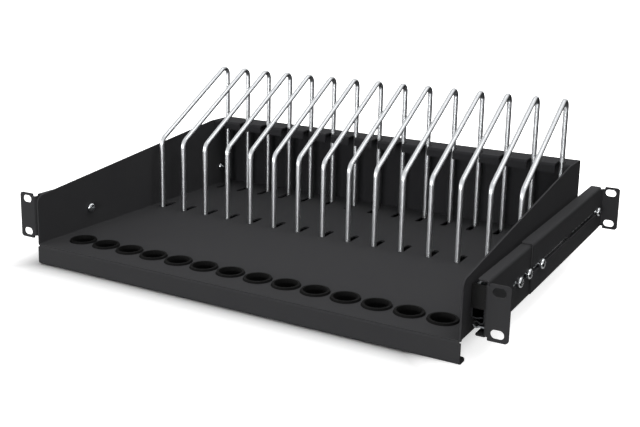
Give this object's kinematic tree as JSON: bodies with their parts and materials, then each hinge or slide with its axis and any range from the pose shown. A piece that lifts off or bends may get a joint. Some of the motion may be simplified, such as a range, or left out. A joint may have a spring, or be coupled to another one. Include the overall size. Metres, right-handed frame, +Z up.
{
  "type": "sliding rack shelf",
  "caption": "Pull-out 19-inch rack shelf on ball slides, with upright chrome wire dividers, cable bushings in the floor and depth-adjustable side brackets.",
  "frame": {"origin": "centre of the four front ear slots, on the front face of the front ears", "axes": "+X to the user's right along the 19-inch width, +Y into the rack, +Z up"},
  "size_m": [0.4826, 0.3508, 0.1595],
  "materials": {
    "powder_coat": "black powder coat, fine satin texture, on folded steel sheet",
    "rod_chrome": "polished chrome-plated steel rod",
    "bushing_black": "black moulded nylon",
    "slide_zinc": "bright zinc-plated cold-rolled steel",
    "screw_zinc": "bright zinc-plated steel screws",
    "ball_steel": "polished bearing steel"
  },
  "bodies": {
    "rails": {"front_bracket_left": "powder_coat", "slide_outer_member_left": "slide_zinc", "front_screws_left": "screw_zinc", "clamp_screws_left": "screw_zinc", "clamp_spacer_left": "screw_zinc", "front_bracket_right": "powder_coat", "slide_outer_member_right": "slide_zinc", "front_screws_right": "screw_zinc", "clamp_screws_right": "screw_zinc", "clamp_spacer_right": "screw_zinc"},
    "rear_bracket_left": {"rear_bracket_left": "powder_coat"},
    "rear_bracket_right": {"rear_bracket_right": "powder_coat"},
    "outer_ball_cages": {"outer_ball_cage_left": "slide_zinc", "outer_balls_left": "ball_steel", "outer_ball_cage_right": "slide_zinc", "outer_balls_right": "ball_steel"},
    "middle_members": {"slide_middle_member_left": "slide_zinc", "slide_middle_member_right": "slide_zinc"},
    "inner_ball_cages": {"inner_ball_cage_left": "slide_zinc", "inner_balls_left": "ball_steel", "inner_ball_cage_right": "slide_zinc", "inner_balls_right": "ball_steel"},
    "tray": {"tray": "powder_coat", "rear_panel": "powder_coat", "foot_channels": "powder_coat", "divider_01": "rod_chrome", "divider_02": "rod_chrome", "divider_03": "rod_chrome", "divider_04": "rod_chrome", "divider_05": "rod_chrome", "divider_06": "rod_chrome", "divider_07": "rod_chrome", "divider_08": "rod_chrome", "divider_09": "rod_chrome", "divider_10": "rod_chrome", "divider_11": "rod_chrome", "divider_12": "rod_chrome", "divider_13": "rod_chrome", "divider_14": "rod_chrome", "divider_15": "rod_chrome", "bushing_01": "bushing_black", "bushing_02": "bushing_black", "bushing_03": "bushing_black", "bushing_04": "bushing_black", "bushing_05": "bushing_black", "bushing_06": "bushing_black", "bushing_07": "bushing_black", "bushing_08": "bushing_black", "bushing_09": "bushing_black", "bushing_10": "bushing_black", "bushing_11": "bushing_black", "bushing_12": "bushing_black", "bushing_13": "bushing_black", "bushing_14": "bushing_black", "slide_inner_member_left": "slide_zinc", "slide_end_cap_left": "bushing_black", "tray_screws_left": "screw_zinc", "slide_inner_member_right": "slide_zinc", "slide_end_cap_right": "bushing_black", "tray_screws_right": "screw_zinc"}
  },
  "joints": [
    {"name": "tray_slide", "type": "slide", "parent": "rails", "child": "tray", "axis": [0, -1, 0], "range_m": [0, 0.3]},
    {"name": "middle_members_slide", "type": "slide", "parent": "rails", "child": "middle_members", "axis": [0, -1, 0], "range_m": [0, 0.15]},
    {"name": "outer_ball_cages_roll", "type": "slide", "parent": "rails", "child": "outer_ball_cages", "axis": [0, -1, 0], "range_m": [0, 0.075]},
    {"name": "inner_ball_cages_roll", "type": "slide", "parent": "rails", "child": "inner_ball_cages", "axis": [0, -1, 0], "range_m": [0, 0.225]},
    {"name": "rear_bracket_left_reach", "type": "slide", "parent": "rails", "child": "rear_bracket_left", "axis": [0, 1, 0], "range_m": [0, 0.018]},
    {"name": "rear_bracket_right_reach", "type": "slide", "parent": "rails", "child": "rear_bracket_right", "axis": [0, 1, 0], "range_m": [0, 0.018]}
  ],
  "couplings": [
    {"joint": "middle_members_slide", "follows": "tray_slide", "ratio": 0.5},
    {"joint": "outer_ball_cages_roll", "follows": "tray_slide", "ratio": 0.25},
    {"joint": "inner_ball_cages_roll", "follows": "tray_slide", "ratio": 0.75}
  ]
}
